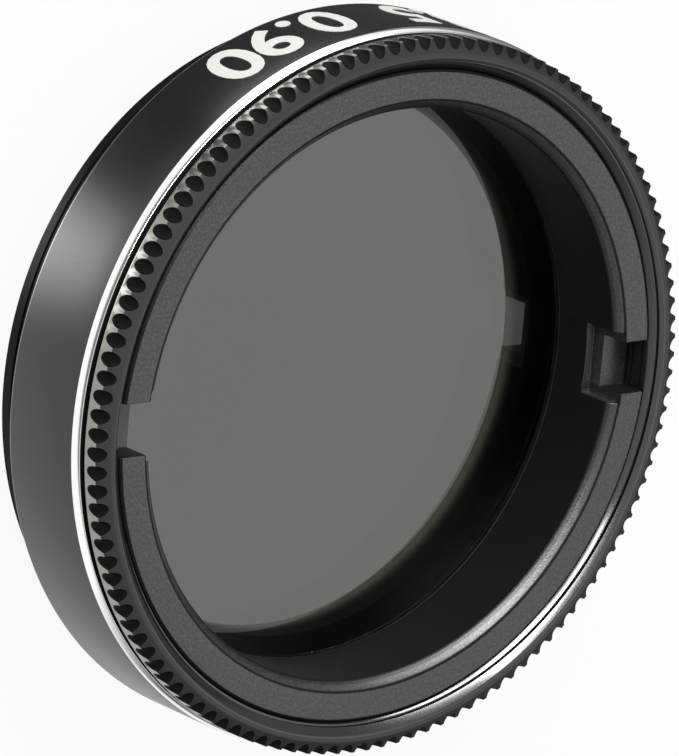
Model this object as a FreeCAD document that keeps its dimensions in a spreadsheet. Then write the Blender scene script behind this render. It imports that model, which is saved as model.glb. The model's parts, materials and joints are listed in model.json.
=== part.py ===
import FreeCAD, Part
import os
import Sketcher

# A screw-in moon filter for 1.25 inch eyepieces, standing on the end of its male thread, +Z to the front.
# It comes apart in three: a turned aluminium cell, a disc of grey glass and the threaded ring that clamps
# the glass on its seat. Lengths are in millimetres; the origin is the middle of the rear end.

# Driving dimensions: alias, value, and what it measures.
SIZES = (
    ("thread_dia", 28.5, "outside diameter of the filter thread, rear and front"),
    ("thread_pitch", 0.6, "pitch of the filter thread"),
    ("thread_form", 1.0825, "pitches by which the thread's minor diameter is smaller"),
    ("thread_length", 2.0, "male thread, from the rear end to the shoulder"),
    ("thread_bevel", 0.3, "lead-in bevel at the end of the male thread"),
    ("undercut_width", 0.6, "run-out groove between male thread and shoulder"),
    ("undercut_depth", 0.4, "depth of the run-out groove under the thread's crest"),
    ("shoulder_relief", 0.05, "step from the thread's crest out to the flat of the shoulder"),
    ("shoulder_width", 1.15, "step from the thread's crest out to the smooth band"),
    ("band_length", 4.94, "smooth band, from the shoulder to the relief groove"),
    ("band_bevel", 0.15, "broken edge at the rear of the band"),
    ("cut_length", 0.38, "bright cut at the front of the band, along the axis"),
    ("cut_drop", 0.13, "bright cut at the front of the band, inwards"),
    ("groove_width", 0.27, "relief groove between band and knurl"),
    ("groove_depth", 0.45, "relief groove, under the crest of the knurl"),
    ("knurl_inset", 0.15, "step from the band in to the crest of the knurl"),
    ("crest_length", 0.78, "crest of the knurl, from the relief groove to its front edge"),
    ("crest_bevel", 0.06, "broken edge at the rear of the crest"),
    ("nose_width", 0.6, "cone from the crest in to the flat front face, across"),
    ("nose_height", 0.28, "cone from the crest up to the flat front face, along the axis"),
    ("knurl_run", 0.59, "a notch, from its start on the crest to the crest's front edge"),
    ("knurl_slope", 28.0, "slope of a notch's bottom against the axis, degrees"),
    ("knurl_radius", 0.325, "radius of the round bottom of a notch"),
    ("knurl_count", 120, "notches round the rim"),
    ("knurl_overcut", 0.3, "how far the notch cutter starts behind the notch"),
    ("knurl_length", 1.5, "length of the notch cutter"),
    ("mouth_bevel", 0.5, "lead-in bevel at the mouth of the female thread"),
    ("ledge_width", 0.86, "step from the female thread in to the glass pocket"),
    ("lip_width", 1.45, "seat that carries the glass, in from the pocket wall"),
    ("lip_height", 1.9, "seat that carries the glass, above the rear end"),
    ("bore_bevel", 0.2, "broken edge at the rear of the clear opening"),
    ("glass_thickness", 2.0, "grey glass disc"),
    ("glass_clearance", 0.05, "room round the glass in its pocket"),
    ("glass_bevel", 0.15, "ground bevel on both edges of the glass"),
    ("clamp_gap", 0.3, "how far the glass stands proud of its pocket"),
    ("ring_height", 4.0, "retaining ring, from the glass to its front face"),
    ("ring_clearance", 0.03, "room round the ring in the female thread"),
    ("ring_wall", 1.715, "thickness of the ring's wall"),
    ("ring_bevel", 0.3, "bevel on both outer edges of the ring"),
    ("ring_edge", 0.42, "bevel on the inner front edge"),
    ("ring_rear_edge", 0.12, "broken inner edge where the ring meets the glass"),
    ("slot_width", 2.25, "spanner slots across the ring"),
    ("slot_depth", 1.36, "spanner slots, from the ring's front face"),
    ("slot_side_edge", 0.2, "bevel on the sides of a slot at its inner end"),
    ("slot_floor_edge", 0.33, "bevel on the floor of a slot at its inner end"),
    ("slot_overcut", 1.0, "how far the slot cutter runs past the ring"),
)

# Two points closer than this count as one.
TOUCH = 1e-4

document = FreeCAD.newDocument("moon_filter")
dims = document.addObject("Spreadsheet::Sheet", "dims")
for row, (alias, size, meaning) in enumerate(SIZES, start=1):
    dims.set(f"A{row}", alias)
    dims.set(f"B{row}", str(size))
    dims.set(f"C{row}", meaning)
    dims.setAlias(f"B{row}", alias)
document.recompute()

# Radii and heights that more than one piece shares, as expressions of the driving dimensions.
THREAD_R = "dims.thread_dia / 2"
BORE_R = f"({THREAD_R} - dims.thread_form * dims.thread_pitch / 2)"
POCKET_R = f"({BORE_R} - dims.ledge_width)"
GLASS_R = f"({POCKET_R} - dims.glass_clearance)"
RING_R = f"({BORE_R} - dims.ring_clearance)"
RING_BORE_R = f"({RING_R} - dims.ring_wall)"
GLASS_FRONT = "(dims.lip_height + dims.glass_thickness)"


def new_body(name):
    """An empty body whose label names the piece."""
    body = document.addObject("PartDesign::Body", name)
    body.Label = name
    return body


def new_sketch(body, name, role):
    """A sketch on one of the body's own origin planes."""
    sketch = body.newObject("Sketcher::SketchObject", name)
    planes = [feature for feature in body.Origin.OriginFeatures if feature.Role == role]
    sketch.AttachmentSupport = [(planes[0], "")]
    sketch.MapMode = "FlatFace"
    return sketch


def draw_outline(sketch, corners):
    """A closed outline of straight lines whose corners are pairs of expressions, measured from the origin."""
    points = []
    for across, along in corners:
        points.append(FreeCAD.Vector(sketch.evalExpression(across), sketch.evalExpression(along), 0))
    for start, end in zip(points, points[1:] + points[:1]):
        sketch.addGeometry(Part.LineSegment(start, end))
    for line in range(len(points)):
        following = (line + 1) % len(points)
        sketch.addConstraint(Sketcher.Constraint("Coincident", line, 2, following, 1))
    for line, corner in enumerate(corners):
        for kind, expression in zip(("DistanceX", "DistanceY"), corner):
            size = float(sketch.evalExpression(expression))
            index = sketch.addConstraint(Sketcher.Constraint(kind, -1, 1, line, 1, size))
            sketch.setExpression(f"Constraints[{index}]", expression)


def turn(body, name, corners):
    """A solid turned about the axis from a half section; each corner is a radius and a height."""
    section = new_sketch(body, f"{name}_section", "XZ_Plane")
    draw_outline(section, corners)
    turned = body.newObject("PartDesign::Revolution", name)
    turned.Profile = section
    turned.ReferenceAxis = (section, ["V_Axis"])
    turned.Angle = 360
    document.recompute()
    return turned


def confirm_cut(cut, before):
    """Stops if a cut took nothing off the solid."""
    if cut.Shape.Volume > before.Shape.Volume - TOUCH:
        raise RuntimeError(f"{cut.Name} cuts nothing")


def build_cell():
    """The cell: one turning with a thread at each end, a smooth band, a bright cut and a knurled rim."""
    body = new_body("filter_cell")
    band_r = f"({THREAD_R} + dims.shoulder_width)"
    crest_r = f"({band_r} - dims.knurl_inset)"
    groove_r = f"({crest_r} - dims.groove_depth)"
    undercut_r = f"({THREAD_R} - dims.undercut_depth)"
    opening_r = f"({POCKET_R} - dims.lip_width)"
    seat_r = f"({THREAD_R} + dims.shoulder_relief)"
    undercut_rear = "(dims.thread_length - dims.undercut_width)"
    undercut_front = f"(dims.thread_length - {seat_r} + {undercut_r})"
    band_front = "(dims.thread_length + dims.band_length)"
    knurl_rear = f"({band_front} + dims.groove_width)"
    crest_front = f"({knurl_rear} + dims.crest_length)"
    front = f"({crest_front} + dims.nose_height)"
    ledge = f"({GLASS_FRONT} - dims.clamp_gap)"
    blank = turn(body, "cell_blank", (
        (f"{opening_r} + dims.bore_bevel", "0"),
        (f"{THREAD_R} - dims.thread_bevel", "0"),
        (THREAD_R, "dims.thread_bevel"),
        (THREAD_R, undercut_rear),
        (undercut_r, undercut_rear),
        (undercut_r, undercut_front),
        (seat_r, "dims.thread_length"),
        (f"{band_r} - dims.band_bevel", "dims.thread_length"),
        (band_r, "dims.thread_length + dims.band_bevel"),
        (band_r, f"{band_front} - dims.cut_length"),
        (f"{band_r} - dims.cut_drop", band_front),
        (groove_r, band_front),
        (groove_r, knurl_rear),
        (f"{crest_r} - dims.crest_bevel", knurl_rear),
        (crest_r, f"{knurl_rear} + dims.crest_bevel"),
        (crest_r, crest_front),
        (f"{crest_r} - dims.nose_width", front),
        (f"{BORE_R} + dims.mouth_bevel", front),
        (BORE_R, f"{front} - dims.mouth_bevel"),
        (BORE_R, ledge),
        (POCKET_R, ledge),
        (POCKET_R, "dims.lip_height"),
        (opening_r, "dims.lip_height"),
        (opening_r, "dims.bore_bevel"),
    ))

    # One round-bottomed notch runs straight across the front edge of the crest, sloping inwards to the
    # nose cone. It starts from nothing on the crest, is deepest at that edge, and repeats round the rim.
    slope = "dims.knurl_slope * 1 deg"
    profile = new_sketch(body, "notch_profile", "XY_Plane")
    tilt = FreeCAD.Rotation(FreeCAD.Vector(0, 1, 0), -profile.evalExpression("dims.knurl_slope"))
    profile.AttachmentOffset = FreeCAD.Placement(FreeCAD.Vector(), tilt)
    profile.setExpression("AttachmentOffset.Base.x", f"{crest_r} + dims.knurl_overcut * tan({slope})")
    profile.setExpression("AttachmentOffset.Base.z", f"{crest_front} - dims.knurl_run - dims.knurl_overcut")
    profile.setExpression("AttachmentOffset.Rotation.Angle", f"-{slope}")
    document.recompute()
    cutter_r = profile.evalExpression("dims.knurl_radius")
    profile.addGeometry(Part.Circle(FreeCAD.Vector(cutter_r, 0, 0), FreeCAD.Vector(0, 0, 1), cutter_r))
    profile.addConstraint(Sketcher.Constraint("PointOnObject", 0, 3, -1))
    for constraint in (("Radius", 0, cutter_r), ("DistanceX", -1, 1, 0, 3, cutter_r)):
        index = profile.addConstraint(Sketcher.Constraint(*constraint))
        profile.setExpression(f"Constraints[{index}]", "dims.knurl_radius")
    notch = body.newObject("PartDesign::Pocket", "notch")
    notch.Profile = profile
    notch.setExpression("Length", "dims.knurl_length")
    notch.Reversed = True
    document.recompute()
    confirm_cut(notch, blank)
    knurl = body.newObject("PartDesign::PolarPattern", "knurl")
    knurl.Originals = [notch]
    knurl.Axis = (next(axis for axis in body.Origin.OriginFeatures if axis.Role == "Z_Axis"), [""])
    knurl.Angle = 360
    knurl.setExpression("Occurrences", "dims.knurl_count")
    body.Tip = knurl
    document.recompute()
    confirm_cut(knurl, notch)
    return body


def build_glass():
    """The filter itself: a flat disc of neutral grey glass with ground edges, lying on the cell's lip."""
    body = new_body("filter_glass")
    rim_r = f"({GLASS_R} - dims.glass_bevel)"
    turn(body, "glass_disc", (
        ("0", "0"),
        (rim_r, "0"),
        (GLASS_R, "dims.glass_bevel"),
        (GLASS_R, "dims.glass_thickness - dims.glass_bevel"),
        (rim_r, "dims.glass_thickness"),
        ("0", "dims.glass_thickness"),
    ))
    body.setExpression("Placement.Base.z", "dims.lip_height")
    document.recompute()
    return body


def build_ring():
    """The retaining ring: a plain tube screwed in on the glass, with two spanner slots across its front."""
    body = new_body("retaining_ring")
    blank = turn(body, "ring_blank", (
        (f"{RING_BORE_R} + dims.ring_rear_edge", "0"),
        (f"{RING_R} - dims.ring_bevel", "0"),
        (RING_R, "dims.ring_bevel"),
        (RING_R, "dims.ring_height - dims.ring_bevel"),
        (f"{RING_R} - dims.ring_bevel", "dims.ring_height"),
        (f"{RING_BORE_R} + dims.ring_edge", "dims.ring_height"),
        (RING_BORE_R, "dims.ring_height - dims.ring_edge"),
        (RING_BORE_R, "dims.ring_rear_edge"),
    ))

    # Both slots are one cut straight across the ring, along X.
    reach = f"({RING_R} + dims.slot_overcut)"
    profile = new_sketch(body, "slot_profile", "XY_Plane")
    profile.setExpression("AttachmentOffset.Base.z", "dims.ring_height")
    draw_outline(profile, (
        (f"-{reach}", "-dims.slot_width / 2"),
        (reach, "-dims.slot_width / 2"),
        (reach, "dims.slot_width / 2"),
        (f"-{reach}", "dims.slot_width / 2"),
    ))
    slots = body.newObject("PartDesign::Pocket", "slots")
    slots.Profile = profile
    slots.setExpression("Length", "dims.slot_depth")
    document.recompute()
    confirm_cut(slots, blank)

    # A bevel breaks both sides and the floor of each slot at its inner end: a flared cut, as large as
    # the slot where the bevel ends in the wall and wider by the bevel at the bore.
    top = "(dims.ring_height + dims.slot_overcut)"
    flare_ends = []
    for name, flare in (("slot_end_in_wall", "0"), ("slot_end_in_bore", "2")):
        side = f"(dims.slot_width / 2 + {flare} * dims.slot_side_edge)"
        floor = f"dims.ring_height - dims.slot_depth - {flare} * dims.slot_floor_edge"
        end = new_sketch(body, name, "YZ_Plane")
        end.setExpression("AttachmentOffset.Base.z", f"{RING_BORE_R} + (1 - {flare}) * dims.slot_floor_edge")
        draw_outline(end, ((f"-{side}", floor), (side, floor), (side, top), (f"-{side}", top)))
        flare_ends.append(end)
    flare_cut = body.newObject("PartDesign::SubtractiveLoft", "slot_flare")
    flare_cut.Profile = flare_ends[0]
    flare_cut.Sections = flare_ends[1:]
    document.recompute()
    confirm_cut(flare_cut, slots)
    both_flares = body.newObject("PartDesign::PolarPattern", "slot_flares")
    both_flares.Originals = [flare_cut]
    both_flares.Axis = (profile, ["N_Axis"])
    both_flares.Angle = 360
    both_flares.Occurrences = 2
    body.Tip = both_flares
    body.setExpression("Placement.Base.z", GLASS_FRONT)
    document.recompute()
    confirm_cut(both_flares, flare_cut)
    return body


pieces = [build_cell(), build_glass(), build_ring()]
for item in document.Objects:
    if "Invalid" in item.State or "Error" in item.State:
        raise RuntimeError(f"{item.Name} failed: {item.State}")
for piece in pieces:
    if piece.Shape.isNull() or not piece.Shape.isValid() or len(piece.Shape.Solids) != 1:
        raise RuntimeError(f"{piece.Label} is not one valid solid")

os.makedirs("parts", exist_ok=True)
for piece in pieces:
    piece.Shape.exportStep(f"parts/{piece.Label}.step")
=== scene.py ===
import json
import math

import bpy
from mathutils import Matrix, Vector

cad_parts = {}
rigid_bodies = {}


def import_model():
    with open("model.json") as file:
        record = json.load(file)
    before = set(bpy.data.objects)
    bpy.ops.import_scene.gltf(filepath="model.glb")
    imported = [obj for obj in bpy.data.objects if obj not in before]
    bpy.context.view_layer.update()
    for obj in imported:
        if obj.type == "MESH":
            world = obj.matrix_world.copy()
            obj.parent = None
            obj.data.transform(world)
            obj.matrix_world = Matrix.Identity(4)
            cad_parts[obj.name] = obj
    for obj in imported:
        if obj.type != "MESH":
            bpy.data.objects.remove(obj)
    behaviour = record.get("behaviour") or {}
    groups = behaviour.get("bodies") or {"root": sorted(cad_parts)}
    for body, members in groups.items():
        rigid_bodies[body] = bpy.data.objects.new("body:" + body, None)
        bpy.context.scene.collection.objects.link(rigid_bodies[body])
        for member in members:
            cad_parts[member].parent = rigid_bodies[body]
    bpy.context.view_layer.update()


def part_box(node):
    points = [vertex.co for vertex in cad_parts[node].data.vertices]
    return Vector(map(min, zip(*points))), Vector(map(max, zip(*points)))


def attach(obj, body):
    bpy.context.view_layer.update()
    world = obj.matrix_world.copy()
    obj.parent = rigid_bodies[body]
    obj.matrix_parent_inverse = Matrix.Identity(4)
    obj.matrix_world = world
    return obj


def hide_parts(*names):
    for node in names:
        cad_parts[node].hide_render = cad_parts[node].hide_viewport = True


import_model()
bpy.context.scene.view_settings.view_transform = "Standard"

# The filter cell is one aluminium turning, black anodised. It has a male thread at the rear, a smooth band, a
# relief groove, a rim knurled with round sloping notches, and a female thread in the mouth. The edge of the band
# is faced after anodising, so that a thin line of bare metal runs round it.
MM = 0.001
TURN_STEPS = 240
THREAD_PITCH = 0.6
THREAD_STEPS = 120
NOTCH_COUNT = 120
cell_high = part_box("filter_cell")[1]
cell_front = cell_high[2] / MM
print_room = 0.015
band_r = cell_high[0] / MM - print_room
thread_r, thread_root_r = 14.25, 13.925
groove_r, crest_r, nose_r, mouth_r = 14.8, 15.25, 14.65, 14.425
cut_rear_z, band_front_z, cut_drop = 6.56, 6.94, 0.13
knurl_rear_z, crest_front_z, mouth_z = 7.21, 7.99, 7.77
shoulder_r, shoulder_z, rear_bevel = 14.30, 2.0, 0.4
lead_in, knurl_bevel, lip_bevel = 0.3, 0.06, 0.2
runout_r, runout_rear_z, runout_front_z = 13.85, 1.4, 1.55
pocket_r, pocket_front_z, lip_r, lip_z = 13.065, 3.6, 11.615, 1.9
cell_corners = [
    (lip_r + lip_bevel, 0.0), (thread_r - lead_in, 0.0), (thread_r, lead_in), (thread_r, runout_rear_z),
    (runout_r, runout_rear_z), (runout_r, runout_front_z), (shoulder_r, shoulder_z),
    (band_r - rear_bevel, shoulder_z), (band_r, shoulder_z + rear_bevel), (band_r, cut_rear_z),
    (band_r - cut_drop, band_front_z), (groove_r, band_front_z), (groove_r, knurl_rear_z),
    (crest_r - knurl_bevel, knurl_rear_z), (crest_r, knurl_rear_z + knurl_bevel), (crest_r, crest_front_z),
    (nose_r, cell_front), (mouth_r, cell_front), (thread_root_r, mouth_z), (thread_root_r, pocket_front_z),
    (pocket_r, pocket_front_z), (pocket_r, lip_z), (lip_r, lip_z), (lip_r, lip_bevel),
]


def turn_blank(name, corners):
    """Turns a closed half section: a circle is extruded from corner to corner, then back to the first."""
    bpy.ops.object.select_all(action="DESELECT")
    radius, height = corners[0]
    bpy.ops.mesh.primitive_circle_add(vertices=TURN_STEPS, radius=radius * MM, location=(0, 0, height * MM))
    blank = bpy.context.object
    blank.name = name
    bpy.ops.object.transform_apply(location=True, rotation=True, scale=True)
    bpy.ops.object.mode_set(mode="EDIT")
    bpy.ops.mesh.select_all(action="SELECT")
    for next_radius, next_height in corners[1:] + corners[:1]:
        rise = (0, 0, (next_height - height) * MM)
        bpy.ops.mesh.extrude_region_move(TRANSFORM_OT_translate={"value": rise})
        grow = next_radius / radius
        bpy.ops.transform.resize(value=(grow, grow, 1), center_override=(0, 0, 0))
        radius, height = next_radius, next_height
    bpy.ops.mesh.select_all(action="SELECT")
    bpy.ops.mesh.remove_doubles(threshold=0.001 * MM)
    bpy.ops.mesh.normals_make_consistent(inside=False)
    bpy.ops.object.mode_set(mode="OBJECT")
    return blank


def round_edges(piece, corners, width, segments):
    """Rounds the turned edges that run through the given corners of the section."""
    bpy.ops.object.mode_set(mode="EDIT")
    bpy.ops.mesh.select_mode(type="EDGE")
    bpy.ops.mesh.select_all(action="DESELECT")
    bpy.ops.object.mode_set(mode="OBJECT")
    vertices = piece.data.vertices
    for edge in piece.data.edges:
        ends = [vertices[index].co / MM for index in edge.vertices]
        for radius, height in corners:
            if all(math.hypot(math.hypot(end.x, end.y) - radius, end.z - height) < 0.002 for end in ends):
                edge.select = True
    bpy.ops.object.mode_set(mode="EDIT")
    bpy.ops.mesh.bevel(offset=width * MM, segments=segments, affect="EDGES", clamp_overlap=True)
    bpy.ops.object.mode_set(mode="OBJECT")


def finish_with(piece, kind, **settings):
    """Adds one modifier to a piece and applies it."""
    bpy.ops.object.select_all(action="DESELECT")
    piece.select_set(True)
    bpy.context.view_layer.objects.active = piece
    modifier = piece.modifiers.new(kind.lower(), kind)
    for setting, value in settings.items():
        setattr(modifier, setting, value)
    bpy.ops.object.modifier_apply(modifier=modifier.name)


def cut_away(piece, cutter):
    """Cuts one shape out of a piece and takes the cutter away."""
    finish_with(piece, "BOOLEAN", operation="DIFFERENCE", solver="EXACT", object=cutter)
    bpy.data.objects.remove(cutter)


def thread_cutter(name, open_r, root_r, open_width, root_width, first_z, turns):
    """The helical groove of a thread: a narrowing section wound up the axis and closed at both ends."""
    bpy.ops.object.select_all(action="DESELECT")
    middle = ((open_r + root_r) / 2 * MM, 0, first_z * MM)
    bpy.ops.mesh.primitive_plane_add(size=1, location=middle, rotation=(math.pi / 2, 0, 0))
    cutter = bpy.context.object
    cutter.name = name
    cutter.scale = (abs(open_r - root_r) * MM, open_width * MM, 1)
    bpy.ops.object.transform_apply(location=True, rotation=True, scale=True)
    for vertex in cutter.data.vertices:
        vertex.select = abs(vertex.co.x - root_r * MM) < 0.01 * MM
    bpy.ops.object.mode_set(mode="EDIT")
    narrow = root_width / open_width
    bpy.ops.transform.resize(value=(1, 1, narrow), center_override=(0, 0, first_z * MM))
    bpy.ops.mesh.select_all(action="SELECT")
    bpy.ops.mesh.delete(type="ONLY_FACE")
    bpy.ops.object.mode_set(mode="OBJECT")
    steps = round(turns * THREAD_STEPS)
    finish_with(cutter, "SCREW", axis="Z", angle=turns * 2 * math.pi, screw_offset=turns * THREAD_PITCH * MM,
                iterations=1, steps=steps, render_steps=steps)
    bpy.ops.object.mode_set(mode="EDIT")
    bpy.ops.mesh.select_all(action="SELECT")
    bpy.ops.mesh.fill_holes(sides=4)
    bpy.ops.mesh.select_all(action="SELECT")
    bpy.ops.mesh.normals_make_consistent(inside=False)
    bpy.ops.object.mode_set(mode="OBJECT")
    return cutter


mouth_round, nose_round, plain_round = 0.1, 0.05, 0.03
cell = turn_blank("dressed_filter_cell", cell_corners)
round_edges(cell, [(mouth_r, cell_front)], mouth_round, 4)
round_edges(cell, [(nose_r, cell_front)], nose_round, 2)
round_edges(cell, [corner for corner in cell_corners if corner[1] < cell_front], plain_round, 2)

# The male thread runs out in the groove at the shoulder; the female one goes on behind the retaining ring.
over = 0.06
flank_slope = 0.1875 / 0.325
male_width, male_root_width, male_first_z, male_turns = 0.525, 0.15, -0.6, 3.6
female_root_r, female_width, female_root_width, female_first_z, female_turns = 14.32, 0.45, 0.09, 6.25, 4.5
cut_away(cell, thread_cutter("male_thread", thread_r + over, thread_root_r, male_width + 2 * over * flank_slope,
                             male_root_width, male_first_z, male_turns))
cut_away(cell, thread_cutter("female_thread", thread_root_r - over, female_root_r,
                             female_width + 2 * over * flank_slope, female_root_width, female_first_z, female_turns))

# The knurl: a round cutter makes one straight notch, which slopes in across the front edge of the crest. The
# notch is repeated all round the rim.
NOTCH_SLOPE, NOTCH_DEPTH = math.radians(29), 0.29
cutter_r, cutter_length = 0.325, 1.7
cutter_rise = cutter_r - NOTCH_DEPTH
bpy.ops.object.select_all(action="DESELECT")
bpy.ops.mesh.primitive_cylinder_add(vertices=20, radius=cutter_r * MM, depth=cutter_length * MM, location=(
    (crest_r + cutter_rise * math.cos(NOTCH_SLOPE)) * MM, 0,
    (crest_front_z + cutter_rise * math.sin(NOTCH_SLOPE)) * MM), rotation=(0, -NOTCH_SLOPE, 0))
notches = bpy.context.object
notches.name = "knurl_notches"
bpy.ops.object.transform_apply(location=True, rotation=True, scale=True)
bpy.ops.object.mode_set(mode="EDIT")
bpy.ops.mesh.select_all(action="SELECT")
bpy.ops.mesh.spin(steps=NOTCH_COUNT - 1, angle=2 * math.pi * (NOTCH_COUNT - 1) / NOTCH_COUNT, dupli=True,
                  center=(0, 0, 0), axis=(0, 0, 1))
bpy.ops.mesh.select_all(action="SELECT")
bpy.ops.mesh.normals_make_consistent(inside=False)
bpy.ops.object.mode_set(mode="OBJECT")
cut_away(cell, notches)
bpy.ops.object.mode_set(mode="EDIT")
bpy.ops.mesh.select_all(action="SELECT")
bpy.ops.mesh.remove_doubles(threshold=0.0005 * MM)
bpy.ops.mesh.normals_make_consistent(inside=False)
bpy.ops.object.mode_set(mode="OBJECT")
bpy.ops.object.shade_smooth_by_angle(angle=math.radians(35))


def new_group(name, inputs, outputs):
    """An empty shader node group with named sockets."""
    group = bpy.data.node_groups.new(name, "ShaderNodeTree")
    for title, kind, value in inputs:
        socket = group.interface.new_socket(title, in_out="INPUT", socket_type=kind)
        if value is not None:
            socket.default_value = value
    for title, kind in outputs:
        group.interface.new_socket(title, in_out="OUTPUT", socket_type=kind)
    return group, group.nodes.new("NodeGroupInput"), group.nodes.new("NodeGroupOutput")


def math_node(tree, operation, first, second):
    """A Math node fed by sockets or plain numbers; gives back its result."""
    node = tree.nodes.new("ShaderNodeMath")
    node.operation = operation
    for socket, value in zip(node.inputs, (first, second)):
        if isinstance(value, (int, float)):
            socket.default_value = value
        else:
            tree.links.new(value, socket)
    return node.outputs[0]


# Tool marks: fine rings left by turning, which follow the height on a wall and the radius on a face.
marks_group, marks_in, marks_out = new_group(
    "turning_marks",
    [("Vector", "NodeSocketVector", None), ("Marks per mm", "NodeSocketFloat", 12.0)],
    [("Height", "NodeSocketFloat"), ("Radius mm", "NodeSocketFloat"), ("Height mm", "NodeSocketFloat")])
split = marks_group.nodes.new("ShaderNodeSeparateXYZ")
flat = marks_group.nodes.new("ShaderNodeCombineXYZ")
reach = marks_group.nodes.new("ShaderNodeVectorMath")
reach.operation = "LENGTH"
rings = marks_group.nodes.new("ShaderNodeTexNoise")
rings.noise_dimensions = "1D"
rings.inputs["Scale"].default_value = 1.0
rings.inputs["Detail"].default_value = 3.0
marks_group.links.new(marks_in.outputs["Vector"], split.inputs[0])
marks_group.links.new(split.outputs["X"], flat.inputs["X"])
marks_group.links.new(split.outputs["Y"], flat.inputs["Y"])
marks_group.links.new(flat.outputs[0], reach.inputs[0])
radius_mm = math_node(marks_group, "MULTIPLY", reach.outputs["Value"], 1 / MM)
height_mm = math_node(marks_group, "MULTIPLY", split.outputs["Z"], 1 / MM)
FACE_SHARE = 0.77
along = math_node(marks_group, "ADD", math_node(marks_group, "MULTIPLY", radius_mm, FACE_SHARE), height_mm)
crowded = math_node(marks_group, "MULTIPLY", along, marks_in.outputs["Marks per mm"])
marks_group.links.new(crowded, rings.inputs["W"])
marks_group.links.new(rings.outputs["Fac"], marks_out.inputs["Height"])
marks_group.links.new(radius_mm, marks_out.inputs["Radius mm"])
marks_group.links.new(height_mm, marks_out.inputs["Height mm"])

# Grain: the fine tooth of an etched, anodised or printed surface, with a slow drift over the piece.
grain_group, grain_in, grain_out = new_group(
    "surface_grain",
    [("Vector", "NodeSocketVector", None), ("Grains per mm", "NodeSocketFloat", 9.0)],
    [("Grain", "NodeSocketFloat"), ("Drift", "NodeSocketFloat")])
fine = grain_group.nodes.new("ShaderNodeTexNoise")
fine.inputs["Detail"].default_value = 2.0
slow = grain_group.nodes.new("ShaderNodeTexNoise")
slow.inputs["Scale"].default_value = 160.0
slow.inputs["Detail"].default_value = 3.0
per_metre = math_node(grain_group, "MULTIPLY", grain_in.outputs["Grains per mm"], 1 / MM)
grain_group.links.new(per_metre, fine.inputs["Scale"])
for noise, title in ((fine, "Grain"), (slow, "Drift")):
    grain_group.links.new(grain_in.outputs["Vector"], noise.inputs["Vector"])
    grain_group.links.new(noise.outputs["Fac"], grain_out.inputs[title])


def new_finish(name):
    """A material with object coordinates and its Principled shader ready to be linked."""
    material = bpy.data.materials.new(name)
    material.use_nodes = True
    tree = material.node_tree
    place = tree.nodes.new("ShaderNodeTexCoord").outputs["Object"]
    return material, tree, place, tree.nodes["Principled BSDF"]


def add_group(tree, group, place, **values):
    """Puts a shared effect into a material with its own values."""
    node = tree.nodes.new("ShaderNodeGroup")
    node.node_tree = group
    tree.links.new(place, node.inputs["Vector"])
    for title, value in values.items():
        node.inputs[title.replace("_", " ")].default_value = value
    return node


def spread(tree, value, low, high, from_low=0.0, from_high=1.0):
    """A Map Range node that turns a mask into a range of values."""
    node = tree.nodes.new("ShaderNodeMapRange")
    tree.links.new(value, node.inputs["Value"])
    for title, number in (("From Min", from_low), ("From Max", from_high), ("To Min", low), ("To Max", high)):
        node.inputs[title].default_value = number
    return node.outputs["Result"]


def blend_colours(tree, mask, first, second):
    """A colour that goes from the first to the second with a mask."""
    node = tree.nodes.new("ShaderNodeMix")
    node.data_type = "RGBA"
    tree.links.new(mask, node.inputs["Factor"])
    for socket, colour in ((node.inputs[6], first), (node.inputs[7], second)):
        if isinstance(colour, tuple):
            socket.default_value = (*colour, 1)
        else:
            tree.links.new(colour, socket)
    return node.outputs[2]


def raise_bumps(tree, height, distance_mm, strength, below=None):
    """A Bump node for relief that is too small to model; one may stand on another."""
    node = tree.nodes.new("ShaderNodeBump")
    node.inputs["Distance"].default_value = distance_mm * MM
    node.inputs["Strength"].default_value = strength
    tree.links.new(height, node.inputs["Height"])
    if below is not None:
        tree.links.new(below, node.inputs["Normal"])
    return node.outputs["Normal"]


# Satin black anodising: nearly no colour of its own and a soft gloss. The crests of the knurl are slightly polished.
# The rear edge of the band is made bright metal as a painted highlight line, and the bore of the lip grey metal that
# fades out up the lip, as a painted sheen. Each grade of gloss is a finish of its own.
LIP_FADE = (0.5, 1.2)
WEAR_AND_HIGHLIGHT_METAL, LIP_PAINTED_SHEEN = (0.34, 0.33, 0.30), (0.52, 0.50, 0.44)
CELL_DYE = ((0.005, 0.005, 0.006), (0.008, 0.008, 0.010))
# The notches' darker colour is painted shade in the pits.
NOTCH_PAINTED_SHADE = ((0.003, 0.003, 0.003), (0.003, 0.003, 0.003))


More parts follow.
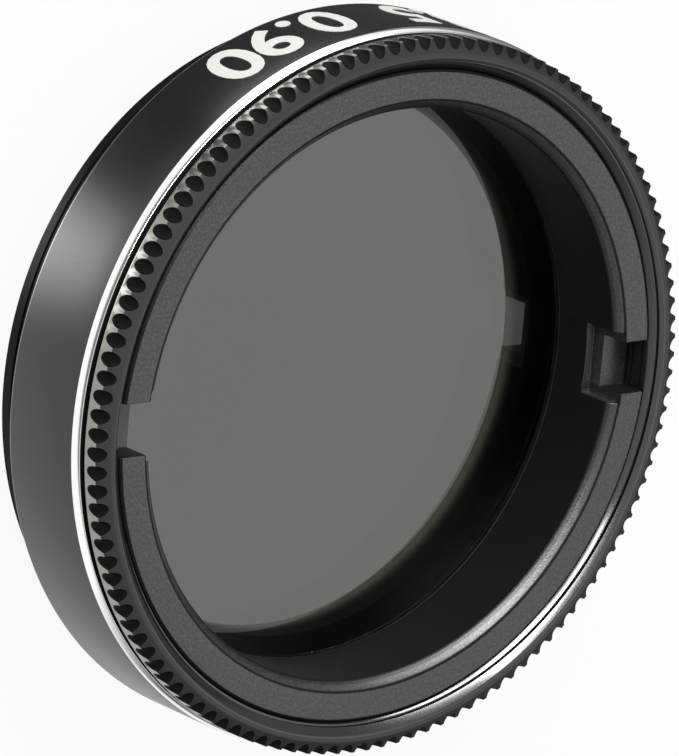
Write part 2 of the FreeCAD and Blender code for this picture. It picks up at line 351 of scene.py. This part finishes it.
def anodise_black(name, base_tones, smoothest, gloss, ior):
    """Satin black anodising in one grade of gloss, with its worn crests, a painted highlight line at the band's rear
    edge and a painted sheen on the lip.
    """
    finish, tree, place, shader = new_finish(name)
    marks = add_group(tree, marks_group, place, Marks_per_mm=14.0)
    grain = add_group(tree, grain_group, place, Grains_per_mm=11.0)
    radius, height = marks.outputs["Radius mm"], marks.outputs["Height mm"]
    wear_and_painted_highlight = math_node(tree, "MULTIPLY", spread(tree, radius, 0.0, 1.0, crest_r - 0.02, crest_r - 0.004),
                     spread(tree, radius, 1.0, 0.0, crest_r + 0.02, crest_r + 0.05))
    wear_and_painted_highlight = math_node(tree, "MULTIPLY", wear_and_painted_highlight, spread(tree, height, 0.0, 1.0, knurl_rear_z, knurl_rear_z + 0.05))
    # The rear edge of the band is made metallic: a painted highlight line.
    from_rear = math_node(tree, "ABSOLUTE", math_node(tree, "SUBTRACT", height, shoulder_z + rear_bevel), 0.0)
    rear_painted_highlight = math_node(tree, "MULTIPLY", spread(tree, from_rear, 0.8, 0.0, 0.03, 0.07),
                          spread(tree, radius, 0.0, 1.0, band_r - 0.07, band_r - 0.04))
    wear_and_painted_highlight = math_node(tree, "MAXIMUM", wear_and_painted_highlight, rear_painted_highlight)
    # The bore of the lip is made grey metal that fades out up the lip: a painted sheen.
    up_the_lip = math_node(tree, "MULTIPLY", spread(tree, height, 0.0, 1.0, lip_bevel - 0.02, lip_bevel + 0.02),
                           spread(tree, height, 1.0, 0.0, *LIP_FADE))
    at_lip = math_node(tree, "MULTIPLY", spread(tree, radius, 1.0, 0.0, lip_r + 0.025, lip_r + 0.055), up_the_lip)
    dye_and_painted_light = blend_colours(tree, grain.outputs["Drift"], *base_tones)
    dye_and_painted_light = blend_colours(tree, at_lip, dye_and_painted_light, LIP_PAINTED_SHEEN)
    tree.links.new(blend_colours(tree, wear_and_painted_highlight, dye_and_painted_light, WEAR_AND_HIGHLIGHT_METAL), shader.inputs["Base Color"])
    tree.links.new(math_node(tree, "MAXIMUM", wear_and_painted_highlight, at_lip), shader.inputs["Metallic"])
    rough = math_node(tree, "ADD", spread(tree, grain.outputs["Grain"], smoothest, smoothest + 0.1),
                      spread(tree, marks.outputs["Height"], -0.03, 0.03))
    tree.links.new(rough, shader.inputs["Roughness"])
    shader.inputs["Specular IOR Level"].default_value = gloss
    shader.inputs["IOR"].default_value = ior
    turned = raise_bumps(tree, marks.outputs["Height"], 0.002, 0.2)
    tree.links.new(raise_bumps(tree, grain.outputs["Grain"], 0.002, 0.07, turned), shader.inputs["Normal"])
    return finish


CELL_IOR, MOUTH_IOR = 1.6, 1.7
cell.data.materials.append(anodise_black("satin_black_anodised", CELL_DYE, 0.24, 0.5, CELL_IOR))

# Bare faced aluminium: the bright line at the front edge of the band.
bare_metal, tree, place, shader = new_finish("bright_faced_aluminium")
marks = add_group(tree, marks_group, place, Marks_per_mm=30.0)
tone = blend_colours(tree, marks.outputs["Height"], (0.97, 0.97, 0.96), (1.0, 1.0, 0.99))
tree.links.new(tone, shader.inputs["Base Color"])
tree.links.new(spread(tree, marks.outputs["Height"], 0.09, 0.13), shader.inputs["Roughness"])
shader.inputs["Metallic"].default_value = 1.0
tree.links.new(raise_bumps(tree, marks.outputs["Height"], 0.0005, 0.08), shader.inputs["Normal"])
cell.data.materials.append(bare_metal)

# The notches and the male thread get a darker, duller copy of the finish as painted shade, and the bevel of the
# mouth a glossier copy as a painted highlight. The faces of each are found by their place on the section.
cell.data.materials.append(anodise_black("shaded_black_notches", NOTCH_PAINTED_SHADE, 0.44, 0.07, CELL_IOR))
cell.data.materials.append(anodise_black("shaded_black_thread", CELL_DYE, 0.44, 0.07, CELL_IOR))
cell.data.materials.append(anodise_black("highlit_black_mouth", CELL_DYE, 0.12, 0.75, MOUTH_IOR))
CUT_LINE, NOTCHES, MALE_THREAD, MOUTH = 1, 2, 3, 4
nose_slope = math.atan2(cell_front - crest_front_z, crest_r - nose_r)
nose_level = crest_r * math.sin(nose_slope) + crest_front_z * math.cos(nose_slope)
for face in cell.data.polygons:
    height, radius = face.center.z / MM, math.hypot(face.center.x, face.center.y) / MM
    under_nose = nose_level - radius * math.sin(nose_slope) - height * math.cos(nose_slope)
    if cut_rear_z < height < band_front_z + 0.01 and radius > band_r - cut_drop - 0.05 and face.normal.z > 0.12:
        face.material_index = CUT_LINE
    elif height > knurl_rear_z + 0.05 and nose_r < radius < crest_r - 0.01 and under_nose > 0.01:
        face.material_index = NOTCHES
    elif height < shoulder_z - 0.05:
        face.material_index = MALE_THREAD
    elif height > mouth_z - 0.05 and radius < mouth_r + 0.05:
        face.material_index = MOUTH
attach(cell, "root")
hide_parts("filter_cell")

# Plain numbers printed on the band in thick white ink: the thread size and the optical density. They are read
# with the rim up, and the film of ink follows the band.
INK_HEIGHT = 3.0
INK_REAR_Z = 2.75
INK_FILM = 0.03
INK_STEP = 0.2
PHOTO_TURN = 22.8
prints = []
white_ink, tree, place, shader = new_finish("white_screen_print")
grain = add_group(tree, grain_group, place, Grains_per_mm=14.0)
paint = blend_colours(tree, grain.outputs["Grain"], (0.80, 0.80, 0.76), (0.90, 0.90, 0.86))
tree.links.new(paint, shader.inputs["Base Color"])
shader.inputs["Specular IOR Level"].default_value = 0.15
tree.links.new(spread(tree, grain.outputs["Grain"], 0.42, 0.58), shader.inputs["Roughness"])
tree.links.new(raise_bumps(tree, grain.outputs["Grain"], 0.004, 0.3), shader.inputs["Normal"])
for name, words, start_angle in (("printed_density", "0.90", 117.0), ("printed_thread_size", "28.5", 83.0)):
    bpy.ops.object.select_all(action="DESELECT")
    bpy.ops.object.text_add(location=(0, 0, 0))
    ink = bpy.context.object
    ink.name = name
    ink.data.body = words
    ink.data.offset = 0.022
    ink.data.resolution_u = 5
    bpy.ops.object.convert(target="MESH")
    ink = bpy.context.object
    low = [min(vertex.co[axis] for vertex in ink.data.vertices) for axis in (0, 1)]
    tall = max(vertex.co.y for vertex in ink.data.vertices) - low[1]
    size = INK_HEIGHT * MM / tall
    ink.location = (-low[0] * size, -low[1] * size, 0)
    ink.scale = (size, size, size)
    bpy.ops.object.transform_apply(location=True, rotation=True, scale=True)
    length = max(vertex.co.x for vertex in ink.data.vertices)
    bpy.ops.object.mode_set(mode="EDIT")
    for step in range(1, int(length / (INK_STEP * MM)) + 1):
        bpy.ops.mesh.select_all(action="SELECT")
        bpy.ops.mesh.bisect(plane_co=(step * INK_STEP * MM, 0, 0), plane_no=(1, 0, 0), threshold=0.0001 * MM)
    bpy.ops.object.mode_set(mode="OBJECT")
    ink_r = (band_r + print_room) * MM
    for vertex in ink.data.vertices:
        angle = math.radians(start_angle - PHOTO_TURN) + vertex.co.x / ink_r
        vertex.co = (ink_r * math.cos(angle), ink_r * math.sin(angle), INK_REAR_Z * MM + vertex.co.y)
    bpy.ops.object.mode_set(mode="EDIT")
    bpy.ops.mesh.select_all(action="SELECT")
    bpy.ops.mesh.remove_doubles(threshold=0.0005 * MM)
    bpy.ops.mesh.normals_make_consistent(inside=False)
    bpy.ops.object.mode_set(mode="OBJECT")
    outward = sum((face.center.x * face.normal.x + face.center.y * face.normal.y) * face.area
                  for face in ink.data.polygons)
    if outward < 0:
        ink.data.flip_normals()
    finish_with(ink, "SOLIDIFY", thickness=INK_FILM * MM, offset=-1)
    bpy.ops.object.shade_smooth_by_angle(angle=math.radians(35))
    ink.data.materials.append(white_ink)
    prints.append(ink)
    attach(ink, "root")

# The filter itself is a flat disc of neutral grey glass, polished on both faces and ground to a small bevel
# round its edges. It lies on the lip in the cell.
GLASS_IOR = 1.52
GLASS_BEVEL = 0.15
glass_low, glass_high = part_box("filter_glass")
bpy.ops.object.select_all(action="DESELECT")
glass_thick, glass_middle = glass_high[2] - glass_low[2], (glass_low[2] + glass_high[2]) / 2
bpy.ops.mesh.primitive_cylinder_add(vertices=TURN_STEPS, radius=glass_high[0], depth=glass_thick,
                                    location=(0, 0, glass_middle))
glass = bpy.context.object
glass.name = "dressed_filter_glass"
bpy.ops.object.transform_apply(location=True, rotation=True, scale=True)
bpy.ops.object.mode_set(mode="EDIT")
bpy.ops.mesh.select_mode(type="EDGE")
bpy.ops.mesh.select_all(action="DESELECT")
bpy.ops.mesh.edges_select_sharp(sharpness=math.radians(60))
bpy.ops.mesh.bevel(offset=GLASS_BEVEL * MM, segments=1, affect="EDGES")
bpy.ops.object.mode_set(mode="OBJECT")
bpy.ops.object.shade_smooth_by_angle(angle=math.radians(30))
grey_glass, tree, place, shader = new_finish("neutral_grey_glass")
grain = add_group(tree, grain_group, place, Grains_per_mm=3.0)
smoke = blend_colours(tree, grain.outputs["Drift"], (0.108, 0.114, 0.100), (0.114, 0.120, 0.106))
tree.links.new(smoke, shader.inputs["Base Color"])
shader.inputs["Roughness"].default_value = 0.0
shader.inputs["IOR"].default_value = GLASS_IOR
shader.inputs["Transmission Weight"].default_value = 1.0
glass.data.materials.append(grey_glass)
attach(glass, "root")
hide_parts("filter_glass")

# The retaining ring is a black anodised tube with an outside thread, screwed in on the glass. Two spanner slots
# cross its front, and the bevel of its inner edge follows their sides and floors. Its finish is finely blasted.
ring_rear = glass_high[2] / MM
ring_front = ring_rear + 4.0
ring_r, ring_bore, ring_edge = 13.895, 12.18, 0.42
front_edge, rear_edge, foot_edge = 0.12, 0.3, 0.12
slot_half, slot_floor, slot_round = 1.125, ring_front - 1.36, 0.34
side_edge, floor_edge = 0.2, 0.33
edge_steps = (0.17, 0.07)
ring = turn_blank("dressed_retaining_ring", [
    (ring_bore + foot_edge, ring_rear), (ring_r - rear_edge, ring_rear), (ring_r, ring_rear + rear_edge),
    (ring_r, ring_front - front_edge), (ring_r - front_edge, ring_front), (ring_bore + ring_edge, ring_front),
    *((ring_bore + step, ring_front - ring_edge + step) for step in edge_steps),
    (ring_bore, ring_front - ring_edge), (ring_bore, ring_rear + foot_edge),
])
bevel_round, small_round = 0.12, 0.04
round_edges(ring, [(ring_bore + ring_edge, ring_front)], bevel_round, 4)
round_edges(ring, [(ring_bore, ring_front - ring_edge), (ring_r - front_edge, ring_front)], small_round, 3)
slot_top = ring_front + 1.0
bpy.ops.object.select_all(action="DESELECT")
bpy.ops.mesh.primitive_cube_add(size=1, location=(0, 0, (slot_floor + slot_top) / 2 * MM))
slot_bar = bpy.context.object
slot_bar.scale = (2 * (ring_r + 1) * MM, 2 * slot_half * MM, (slot_top - slot_floor) * MM)
bpy.ops.object.transform_apply(location=True, rotation=True, scale=True)
cut_away(ring, slot_bar)
flares = [(floor_edge, 2 * floor_edge, 2 * side_edge, 2 * floor_edge)]
steep, steep_past = math.radians(68), 0.3
steep_start = slot_round - slot_round * (1 - math.sin(steep)) / math.cos(steep)
flares.append((steep_start, steep_start + steep_past, (steep_start + steep_past) / math.tan(steep), 0))
for side in (1, -1):
    for start, run, wider, deeper in flares:
        inner_x, middle_x = side * (ring_bore + start - run), side * (ring_bore + start - run / 2)
        bpy.ops.object.select_all(action="DESELECT")
        bpy.ops.mesh.primitive_cube_add(size=1, location=(middle_x * MM, 0, (slot_floor + slot_top) / 2 * MM))
        flare = bpy.context.object
        flare.scale = (run * MM, 2 * slot_half * MM, (slot_top - slot_floor) * MM)
        bpy.ops.object.transform_apply(location=True, rotation=True, scale=True)
        for vertex in flare.data.vertices:
            vertex.select = abs(vertex.co.x - inner_x * MM) < 0.01 * MM
        bpy.ops.object.mode_set(mode="EDIT")
        widen = (slot_half + wider) / slot_half
        deepen = (slot_top - slot_floor + deeper) / (slot_top - slot_floor)
        bpy.ops.transform.resize(value=(1, widen, deepen), center_override=(0, 0, slot_top * MM))
        bpy.ops.object.mode_set(mode="OBJECT")
        cut_away(ring, flare)
bpy.ops.object.mode_set(mode="EDIT")
bpy.ops.mesh.select_all(action="SELECT")
bpy.ops.mesh.remove_doubles(threshold=0.0005 * MM)
bpy.ops.mesh.normals_make_consistent(inside=False)
bpy.ops.object.mode_set(mode="OBJECT")
finish_with(ring, "BEVEL", width=small_round * MM, segments=3, limit_method="ANGLE", angle_limit=math.radians(28))
bpy.ops.object.shade_smooth_by_angle(angle=math.radians(30))


def blast_black(name, gloss):
    """Finely blasted black anodising in one grade of gloss, with bright grains on the front and its slots; the
    walls, the slot sides and a line along the inner bevel get a darker colour as painted shade.
    """
    finish, tree, place, shader = new_finish(name)
    grain = add_group(tree, grain_group, place, Grains_per_mm=13.0)
    sparkle = add_group(tree, grain_group, place, Grains_per_mm=9.0)
    marks = add_group(tree, marks_group, place, Marks_per_mm=10.0)
    radius, height = marks.outputs["Radius mm"], marks.outputs["Height mm"]
    split = tree.nodes.new("ShaderNodeSeparateXYZ")
    tree.links.new(place, split.inputs[0])
    off_middle = math_node(tree, "ABSOLUTE", split.outputs["Y"], 0.0)
    from_edge = math_node(tree, "ABSOLUTE", math_node(tree, "SUBTRACT", radius, ring_bore + ring_edge), 0.0)
    side_starts, side_ends = (slot_half - 0.045) * MM, (slot_half + 0.235) * MM
    past_start = spread(tree, off_middle, 0.0, 1.0, side_starts, side_starts + 0.02 * MM)
    before_end = spread(tree, off_middle, 1.0, 0.0, side_ends, side_ends + 0.04 * MM)
    beside_slot = math_node(tree, "MULTIPLY", past_start, before_end)
    on_side = math_node(tree, "MULTIPLY", beside_slot,
                        spread(tree, height, 1.0, 0.0, ring_front - 0.08, ring_front - 0.04))
    on_edge = math_node(tree, "MULTIPLY", spread(tree, from_edge, 1.0, 0.0, 0.03, 0.06),
                        spread(tree, height, 0.0, 1.0, ring_front - 0.25, ring_front - 0.2))
    # The front face and slot floors keep the lighter grained colour; the walls, the lower bevel, the slot sides and
    # a thin line along the inner bevel get the darker one, as painted shade.
    on_front = math_node(tree, "MULTIPLY", spread(tree, radius, 0.0, 1.0, ring_bore + 0.02, ring_bore + 0.22),
                         spread(tree, radius, 1.0, 0.0, ring_r - front_edge, ring_r - front_edge + 0.02))
    on_front = math_node(tree, "SUBTRACT", on_front, math_node(tree, "MAXIMUM", on_side, on_edge))
    on_front = math_node(tree, "MAXIMUM", on_front, 0.0)
    bright_grain = spread(tree, sparkle.outputs["Grain"], 0.0, 1.0, 0.42, 0.66)
    dye_and_painted_light = blend_colours(tree, bright_grain, (0.012, 0.0118, 0.0115), (0.034, 0.0333, 0.032))
    dye_and_painted_light = blend_colours(tree, on_front, (0.007, 0.0068, 0.0066), dye_and_painted_light)
    foot_top = ring_rear + foot_edge
    bare_foot = math_node(tree, "MULTIPLY", spread(tree, height, 1.0, 0.0, foot_top, foot_top + 0.02),
                          spread(tree, radius, 1.0, 0.0, ring_bore + 0.13, ring_bore + 0.2))
    tree.links.new(blend_colours(tree, bare_foot, dye_and_painted_light, (0.80, 0.79, 0.77)), shader.inputs["Base Color"])
    tree.links.new(bare_foot, shader.inputs["Metallic"])
    tree.links.new(spread(tree, grain.outputs["Grain"], 0.26, 0.42), shader.inputs["Roughness"])
    shader.inputs["IOR"].default_value = RING_IOR
    shader.inputs["Specular IOR Level"].default_value = gloss
    turned = raise_bumps(tree, marks.outputs["Height"], 0.003, 0.15)
    tree.links.new(raise_bumps(tree, grain.outputs["Grain"], 0.012, 0.6, turned), shader.inputs["Normal"])
    return finish


RING_IOR = 1.7
# The ring's finish comes in three grades of gloss: the duller two are painted shade, on the lower bevel and the
# slots' flares, and on the walls, the outer thread, the slot sides and a line along the inner bevel.
SHADED_EDGE, SHADED_WALLS = 1, 2
ring.data.materials.append(blast_black("blasted_black_anodised", 0.5))
ring.data.materials.append(blast_black("shaded_blasted_edge", 0.29))
ring.data.materials.append(blast_black("shaded_black_walls", 0.08))
for face in ring.data.polygons:
    height, radius = face.center.z / MM, math.hypot(face.center.x, face.center.y) / MM
    off_middle, tilt_aside = abs(face.center.y) / MM, abs(face.normal.y)
    sloped = face.normal.z > 0.2 or tilt_aside > 0.6
    at_slot = off_middle < slot_half + 0.25 and slot_floor - 0.8 < height < ring_front - 0.06
    in_slot = sloped and at_slot
    on_wall = radius < ring_bore + edge_steps[1] and not in_slot or radius > ring_r - 0.11
    on_slot_side = in_slot and off_middle > slot_half - 0.04 and tilt_aside > 0.95
    on_edge = abs(radius - ring_bore - ring_edge) < 0.045 and height > ring_front - 0.22
    if on_wall or on_slot_side or on_edge:
        face.material_index = SHADED_WALLS
    elif radius < ring_bore + edge_steps[0] and not in_slot or in_slot and tilt_aside > 0.6:
        face.material_index = SHADED_EDGE
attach(ring, "root")
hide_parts("retaining_ring")

# The floor under the filter: a plain pale sheet. To the camera and through the glass it is nearly white and keeps a
# faint shadow. In gloss it glows with painted light and shade that change with direction and distance from the
# filter, in place of the white cards and light strips that would stand round such a piece in a studio: a painted
# pool of light under the glass, painted shade beside the filter away from the lit side, a painted highlight streak
# for the band, painted glints for the knurl, and painted shade far off.
FLOOR_SIZE = 1.6
GLASS_LIGHT_R, BESIDE_R, FRINGE_R = 0.0117, 0.0214, 0.027
LIT_SIDE = 268
CAMERA_SHARE = 0.93
bpy.ops.object.select_all(action="DESELECT")
bpy.ops.mesh.primitive_plane_add(size=FLOOR_SIZE, location=(0, 0, 0))
floor = bpy.context.object
floor.name = "pale_floor"
sheet = bpy.data.materials.new("pale_sheet")
sheet.use_nodes = True
tree = sheet.node_tree
shader = tree.nodes["Principled BSDF"]
shader.inputs["Base Color"].default_value = (0.82, 0.82, 0.82, 1)
shader.inputs["Roughness"].default_value = 0.9
shader.inputs["Specular IOR Level"].default_value = 0.0
glow = tree.nodes.new("ShaderNodeEmission")
path = tree.nodes.new("ShaderNodeLightPath")
spot = tree.nodes.new("ShaderNodeTexCoord").outputs["Object"]
reach = tree.nodes.new("ShaderNodeVectorMath")
reach.operation = "LENGTH"
tree.links.new(spot, reach.inputs[0])
from_axis = reach.outputs["Value"]
turned_to = tree.nodes.new("ShaderNodeVectorMath")
turned_to.operation = "NORMALIZE"
tree.links.new(spot, turned_to.inputs[0])


def facing(vector, angle):
    """How far a place on the floor lies toward one angle, as the photograph is turned."""
    node = tree.nodes.new("ShaderNodeVectorMath")
    node.operation = "DOT_PRODUCT"
    turn = math.radians(angle - PHOTO_TURN)
    node.inputs[1].default_value = (math.cos(turn), math.sin(turn), 0)
    tree.links.new(vector, node.inputs[0])
    return node.outputs["Value"]


# Painted pool of light under the glass, brighter toward one side, seen only in gloss.
under_glass = spread(tree, facing(spot, -58), 0.4, 1.0, -0.002, 0.008)
painted_highlight_streak = math_node(tree, "POWER", spread(tree, facing(turned_to.outputs[0], 177), 0.0, 1.0, 0.94, 1.0), 4.0)
# Beside the filter: painted shade away from the lit side and a painted highlight streak, seen only in gloss.
beside = math_node(tree, "ADD", spread(tree, facing(turned_to.outputs[0], LIT_SIDE), 0.1, 0.9, -0.5, 0.25),
                   math_node(tree, "MULTIPLY", painted_highlight_streak, 3.6))
far_off = spread(tree, facing(turned_to.outputs[0], 170), 0.15, 1.0, -0.3, 0.2)


def switch_at(distance, inner, outer):
    """One value inside a distance from the axis and another outside it."""
    past = math_node(tree, "GREATER_THAN", from_axis, distance)
    return math_node(tree, "ADD", math_node(tree, "MULTIPLY", outer, past),
                     math_node(tree, "MULTIPLY", inner, math_node(tree, "SUBTRACT", 1.0, past)))


# Farther out: painted glints for the knurl toward one angle; past that, painted shade toward the far side.
fringe = math_node(tree, "MAXIMUM", spread(tree, facing(turned_to.outputs[0], LIT_SIDE), 0.2, 0.9, -0.6, -0.35),
                   spread(tree, facing(turned_to.outputs[0], 125), 0.0, 3.2, 0.94, 0.985))
outside = switch_at(BESIDE_R, beside, switch_at(FRINGE_R, fringe, far_off))
painted_gloss_light = switch_at(GLASS_LIGHT_R, under_glass, outside)
in_gloss = math_node(tree, "MULTIPLY", path.outputs["Is Glossy Ray"],
                     math_node(tree, "SUBTRACT", 1.0, path.outputs["Is Transmission Ray"]))
strength = math_node(tree, "ADD", math_node(tree, "MULTIPLY", painted_gloss_light, in_gloss),
                     math_node(tree, "SUBTRACT", 1.0, in_gloss))
tree.links.new(strength, glow.inputs["Strength"])
share = math_node(tree, "MAXIMUM", math_node(tree, "MULTIPLY", path.outputs["Is Camera Ray"], CAMERA_SHARE),
                  math_node(tree, "MAXIMUM", path.outputs["Is Transmission Ray"], in_gloss))
mix = tree.nodes.new("ShaderNodeMixShader")
tree.links.new(share, mix.inputs[0])
tree.links.new(shader.outputs[0], mix.inputs[1])
tree.links.new(glow.outputs[0], mix.inputs[2])
tree.links.new(mix.outputs[0], tree.nodes["Material Output"].inputs["Surface"])
floor.data.materials.append(sheet)

# The room is a soft white tent: brightest straight above and high up behind the filter, dim low down. The camera
# sees it as plain white.
world = bpy.data.worlds.new("soft_room")
world.use_nodes = True
tree = world.node_tree
room = tree.nodes["Background"]
room.inputs["Color"].default_value = (1, 1, 1, 1)
path = tree.nodes.new("ShaderNodeLightPath")
heading = tree.nodes.new("ShaderNodeTexCoord").outputs["Generated"]


def toward(angle, radius, height):
    """A point round the axis: its angle as the photograph is turned, its distance from the axis, its height."""
    turn = math.radians(angle - PHOTO_TURN)
    return Vector((radius * math.cos(turn), radius * math.sin(turn), height))


def tint_room(level, angle, rise, inner, outer, value):
    """Brings the light round one direction to a value; the patch fades between two angles from its middle."""
    near = tree.nodes.new("ShaderNodeVectorMath")
    near.operation = "DOT_PRODUCT"
    tree.links.new(heading, near.inputs[0])
    near.inputs[1].default_value = toward(angle, math.cos(math.radians(rise)), math.sin(math.radians(rise)))
    patch = tree.nodes.new("ShaderNodeMapRange")
    patch.interpolation_type = "SMOOTHSTEP"
    tree.links.new(near.outputs["Value"], patch.inputs["Value"])
    patch.inputs["From Min"].default_value = math.cos(math.radians(outer))
    patch.inputs["From Max"].default_value = math.cos(math.radians(inner))
    blend = tree.nodes.new("ShaderNodeMix")
    tree.links.new(patch.outputs["Result"], blend.inputs["Factor"])
    tree.links.new(level, blend.inputs["A"])
    blend.inputs["B"].default_value = value
    return blend.outputs["Result"]


split = tree.nodes.new("ShaderNodeSeparateXYZ")
tree.links.new(heading, split.inputs[0])
level = spread(tree, split.outputs["Z"], 0.2, 0.65, 0.2, 0.6)
level = tint_room(level, 0, 48, 12, 40, 0.95)
level = tint_room(level, -50, 8, 18, 45, 0.25)
level = tint_room(level, 57, 8, 14, 34, 0.3)
level = tint_room(level, 0, 90, 14, 32, 0.9)
tree.links.new(math_node(tree, "MAXIMUM", path.outputs["Is Camera Ray"], level), room.inputs["Strength"])
bpy.context.scene.world = world


def add_lamp(name, place, aim, wide, long, radiance, left_out):
    """A rectangular soft light that faces a point, unseen by the camera, of a given surface brightness."""
    lamp = bpy.data.lights.new(name, "AREA")
    lamp.shape = "RECTANGLE"
    lamp.size, lamp.size_y = wide, long
    lamp.energy = radiance * math.pi * wide * long
    lamp_object = bpy.data.objects.new(name, lamp)
    bpy.context.scene.collection.objects.link(lamp_object)
    lamp_object.location = place
    lamp_object.rotation_euler = (aim - place).to_track_quat("-Z", "Y").to_euler()
    lamp_object.visible_camera = False
    lit = bpy.data.collections.new("lit_by_" + name)
    for piece in bpy.context.scene.objects:
        if piece.type == "MESH" and piece not in left_out:
            lit.objects.link(piece)
    lamp_object.light_linking.receiver_collection = lit
    return lamp_object


# One soft box stands above the left side, and one long strip is mirrored in the bevel of the mouth. Neither
# lights the glass, in which it would show as a hard white patch. The strip also leaves out the print and the
# floor, so that white ink doesn't clip.
middle = Vector((0, 0, 6 * MM))
add_lamp("soft_box", middle + toward(122, 0.247, 0.171), middle, 0.13, 0.1, 12.0, [glass])
high_end, low_end = toward(170, 0.230, 0.188), toward(80, 0.288, 0.080)
strip_place = middle + (high_end + low_end) / 2
mouth_strip = add_lamp("mouth_strip", strip_place, middle, 0.036, (high_end - low_end).length, 16.0,
                       [glass, floor, *prints])
inward, lengthwise = (middle - strip_place).normalized(), (high_end - low_end).normalized()
lengthwise = (lengthwise - inward * lengthwise.dot(inward)).normalized()
mouth_strip.rotation_euler = Matrix((lengthwise.cross(-inward), lengthwise, -inward)).transposed().to_euler()

# The camera stands where the photograph was taken: level with the slots' direction, looking down on the front,
# and rolled so that the filter seems to lie on its side.
IMAGE_WIDTH, IMAGE_HEIGHT = 679, 756
CAMERA_DISTANCE = 0.4
CAMERA_TILT = 47.97
CAMERA_ROLL = 112.39
FOCAL_PIXELS = 9726.6
RIM_HEIGHT = 7.9
rim_middle = Vector((0, 0, RIM_HEIGHT * MM))
rim_shows_at = (390.5, 398.2)
view_turn, view_tilt = math.radians(-PHOTO_TURN), math.radians(CAMERA_TILT)
look = Vector((math.cos(view_turn) * math.cos(view_tilt), math.sin(view_turn) * math.cos(view_tilt),
               -math.sin(view_tilt)))
level_right = look.cross(Vector((0, 0, 1))).normalized()
level_up = level_right.cross(look)
roll = math.radians(CAMERA_ROLL)
right = level_right * math.cos(roll) + level_up * math.sin(roll)
up = right.cross(look)
off_right = (rim_shows_at[0] - IMAGE_WIDTH / 2) / FOCAL_PIXELS
off_down = (rim_shows_at[1] - IMAGE_HEIGHT / 2) / FOCAL_PIXELS
lens = bpy.data.cameras.new("photo_camera")
lens.sensor_width = 36.0
lens.lens = FOCAL_PIXELS * lens.sensor_width / IMAGE_HEIGHT
lens.clip_start, lens.clip_end = 0.01, 10.0
camera = bpy.data.objects.new("photo_camera", lens)
bpy.context.scene.collection.objects.link(camera)
camera.location = rim_middle + (up * off_down - right * off_right - look) * CAMERA_DISTANCE
camera.rotation_euler = Matrix((right, up, -look)).transposed().to_euler()
bpy.context.scene.camera = camera
